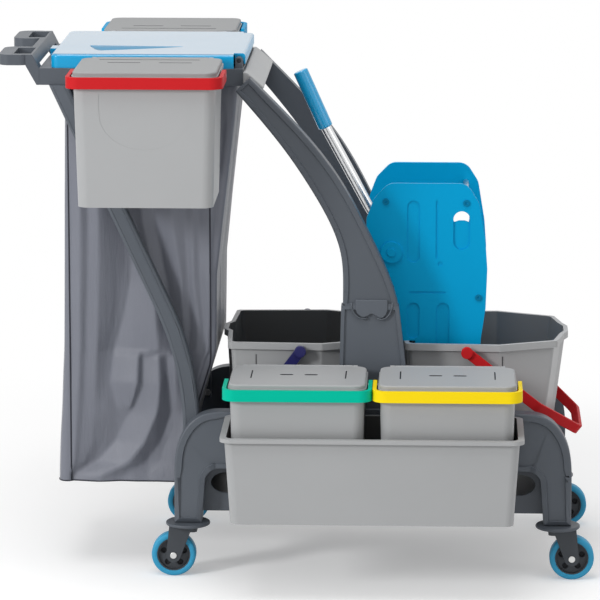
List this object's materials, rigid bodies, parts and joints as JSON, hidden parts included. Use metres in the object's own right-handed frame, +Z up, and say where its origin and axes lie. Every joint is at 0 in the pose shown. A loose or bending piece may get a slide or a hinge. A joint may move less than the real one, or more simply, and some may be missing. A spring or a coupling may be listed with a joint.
{
  "type": "housekeeping cart",
  "caption": "Wheeled cleaning cart with a lidded waste bag, mop buckets with a lever press, hanging lidded bins, a side tub and push handles.",
  "frame": {"origin": "on the floor under the middle of the cart's bounding box", "axes": "+X along the cart from the push handles to the mop press, +Y to the far side, +Z up"},
  "size_m": [1.066, 0.829, 0.943],
  "materials": {
    "frame_grey": "moulded, satin, dark grey",
    "light_grey": "moulded, satin, light grey",
    "blue": "moulded, semi-gloss, bright blue",
    "red": "moulded, semi-gloss, red",
    "green": "moulded, semi-gloss, green",
    "yellow": "moulded, semi-gloss, yellow",
    "navy": "moulded, semi-gloss, navy",
    "bag_cloth": "coated cloth, soft sheen, grey",
    "steel": "plated",
    "tube_metal": "satin anodised",
    "caster_dark": "moulded, satin, near black",
    "axle_steel": "zinc plated",
    "tyre_blue": "soft blue tread"
  },
  "bodies": {
    "frame": {"base_tray": "frame_grey", "near_side_frame": "frame_grey", "far_side_frame": "frame_grey", "near_arm": "frame_grey", "far_arm": "frame_grey", "near_strut": "frame_grey", "far_strut": "frame_grey", "strut_bolts": "steel", "top_frame": "frame_grey", "push_handle": "frame_grey", "bridge_plate": "light_grey", "bag_rim": "frame_grey", "waste_bag": "bag_cloth", "lid_hinge_pin": "steel", "bin_hangers": "frame_grey", "bumper_discs": "frame_grey"},
    "waste_lid": {"waste_lid": "blue"},
    "left_bucket": {"left_bucket": "light_grey"},
    "left_bail": {"left_bucket_bail": "navy"},
    "right_bucket": {"right_bucket": "light_grey"},
    "right_bail": {"right_bucket_bail": "red"},
    "press": {"near_cheek": "blue", "far_cheek": "blue", "press_basket": "blue", "press_tie_rods": "steel", "press_screws": "steel"},
    "lever": {"press_shaft": "steel", "press_yoke": "blue", "lever_tube": "tube_metal", "lever_grip": "blue"},
    "tub": {"tub": "light_grey"},
    "red_bin": {"red_bin": "light_grey"},
    "red_bin_lid": {"red_bin_lid": "light_grey"},
    "red_bin_bail": {"red_bin_bail": "red"},
    "blue_bin": {"blue_bin": "light_grey"},
    "blue_bin_lid": {"blue_bin_lid": "light_grey"},
    "blue_bin_bail": {"blue_bin_bail": "blue"},
    "green_bin": {"green_bin": "light_grey"},
    "green_bin_lid": {"green_bin_lid": "light_grey"},
    "green_bin_bail": {"green_bin_bail": "green"},
    "yellow_bin": {"yellow_bin": "light_grey"},
    "yellow_bin_lid": {"yellow_bin_lid": "light_grey"},
    "yellow_bin_bail": {"yellow_bin_bail": "yellow"},
    "near_left_caster": {"near_left_fork": "caster_dark"},
    "near_left_wheel": {"near_left_axle": "axle_steel", "near_left_hub": "caster_dark", "near_left_tyre": "tyre_blue"},
    "near_right_caster": {"near_right_fork": "caster_dark"},
    "near_right_wheel": {"near_right_axle": "axle_steel", "near_right_hub": "caster_dark", "near_right_tyre": "tyre_blue"},
    "far_left_caster": {"far_left_fork": "caster_dark"},
    "far_left_wheel": {"far_left_axle": "axle_steel", "far_left_hub": "caster_dark", "far_left_tyre": "tyre_blue"},
    "far_right_caster": {"far_right_fork": "caster_dark"},
    "far_right_wheel": {"far_right_axle": "axle_steel", "far_right_hub": "caster_dark", "far_right_tyre": "tyre_blue"}
  },
  "joints": [
    {"name": "waste_lid_hinge", "type": "hinge", "parent": "frame", "child": "waste_lid", "pos_m": [-0.106, 0, 0.931], "axis": [0, 1, 0], "range_deg": [0, 100]},
    {"name": "left_bucket_lift", "type": "slide", "parent": "frame", "child": "left_bucket", "axis": [0, 0, 1], "range_m": [0, 0.06]},
    {"name": "left_bail_hinge", "type": "hinge", "parent": "left_bucket", "child": "left_bail", "pos_m": [0.003, 0, 0.408], "axis": [0, 1, 0], "range_deg": [0, 5]},
    {"name": "right_bucket_lift", "type": "slide", "parent": "frame", "child": "right_bucket", "axis": [0, 0, 1], "range_m": [0, 0.1]},
    {"name": "right_bail_hinge", "type": "hinge", "parent": "right_bucket", "child": "right_bail", "pos_m": [0.302, 0, 0.408], "axis": [0, -1, 0], "range_deg": [0, 112]},
    {"name": "press_lift", "type": "slide", "parent": "right_bucket", "child": "press", "axis": [0, 0, 1], "range_m": [0, 0.13]},
    {"name": "lever_hinge", "type": "hinge", "parent": "press", "child": "lever", "pos_m": [0.165, 0, 0.582], "axis": [0, 1, 0], "range_deg": [0, 26]},
    {"name": "tub_lift", "type": "slide", "parent": "frame", "child": "tub", "axis": [0, 0, 1], "range_m": [0, 0.04]},
    {"name": "red_bin_lift", "type": "slide", "parent": "frame", "child": "red_bin", "axis": [0, 0, 1], "range_m": [0, 0.12]},
    {"name": "red_bin_lid_hinge", "type": "hinge", "parent": "red_bin", "child": "red_bin_lid", "pos_m": [-0.256, -0.195, 0.937], "axis": [-1, 0, 0], "range_deg": [0, 110]},
    {"name": "red_bin_bail_hinge", "type": "hinge", "parent": "red_bin", "child": "red_bin_bail", "pos_m": [-0.256, -0.299, 0.923], "axis": [-1, 0, 0], "range_deg": [0, 100]},
    {"name": "blue_bin_lift", "type": "slide", "parent": "frame", "child": "blue_bin", "axis": [0, 0, 1], "range_m": [0, 0.12]},
    {"name": "blue_bin_lid_hinge", "type": "hinge", "parent": "blue_bin", "child": "blue_bin_lid", "pos_m": [-0.256, 0.195, 0.937], "axis": [1, 0, 0], "range_deg": [0, 110]},
    {"name": "blue_bin_bail_hinge", "type": "hinge", "parent": "blue_bin", "child": "blue_bin_bail", "pos_m": [-0.256, 0.299, 0.923], "axis": [1, 0, 0], "range_deg": [0, 100]},
    {"name": "green_bin_lift", "type": "slide", "parent": "tub", "child": "green_bin", "axis": [0, 0, 1], "range_m": [0, 0.16]},
    {"name": "green_bin_lid_hinge", "type": "hinge", "parent": "green_bin", "child": "green_bin_lid", "pos_m": [0.0055, -0.22, 0.39], "axis": [-1, 0, 0], "range_deg": [0, 88]},
    {"name": "green_bin_bail_hinge", "type": "hinge", "parent": "green_bin", "child": "green_bin_bail", "pos_m": [0.0055, -0.306, 0.376], "axis": [-1, 0, 0], "range_deg": [0, 100]},
    {"name": "yellow_bin_lift", "type": "slide", "parent": "tub", "child": "yellow_bin", "axis": [0, 0, 1], "range_m": [0, 0.16]},
    {"name": "yellow_bin_lid_hinge", "type": "hinge", "parent": "yellow_bin", "child": "yellow_bin_lid", "pos_m": [0.2675, -0.22, 0.39], "axis": [-1, 0, 0], "range_deg": [0, 88]},
    {"name": "yellow_bin_bail_hinge", "type": "hinge", "parent": "yellow_bin", "child": "yellow_bin_bail", "pos_m": [0.2675, -0.306, 0.376], "axis": [-1, 0, 0], "range_deg": [0, 100]},
    {"name": "near_left_swivel", "type": "hinge", "parent": "frame", "child": "near_left_caster", "pos_m": [-0.1985, -0.197, 0.1], "axis": [0, 0, 1], "continuous": true},
    {"name": "near_left_roll", "type": "hinge", "parent": "near_left_caster", "child": "near_left_wheel", "pos_m": [-0.224, -0.197, 0.04], "axis": [0, 1, 0], "continuous": true},
    {"name": "near_right_swivel", "type": "hinge", "parent": "frame", "child": "near_right_caster", "pos_m": [0.4675, -0.197, 0.1], "axis": [0, 0, 1], "continuous": true},
    {"name": "near_right_roll", "type": "hinge", "parent": "near_right_caster", "child": "near_right_wheel", "pos_m": [0.493, -0.197, 0.04], "axis": [0, 1, 0], "continuous": true},
    {"name": "far_left_swivel", "type": "hinge", "parent": "frame", "child": "far_left_caster", "pos_m": [-0.1985, 0.197, 0.1], "axis": [0, 0, 1], "continuous": true},
    {"name": "far_left_roll", "type": "hinge", "parent": "far_left_caster", "child": "far_left_wheel", "pos_m": [-0.224, 0.197, 0.04], "axis": [0, 1, 0], "continuous": true},
    {"name": "far_right_swivel", "type": "hinge", "parent": "frame", "child": "far_right_caster", "pos_m": [0.4675, 0.197, 0.1], "axis": [0, 0, 1], "continuous": true},
    {"name": "far_right_roll", "type": "hinge", "parent": "far_right_caster", "child": "far_right_wheel", "pos_m": [0.493, 0.197, 0.04], "axis": [0, 1, 0], "continuous": true}
  ]
}
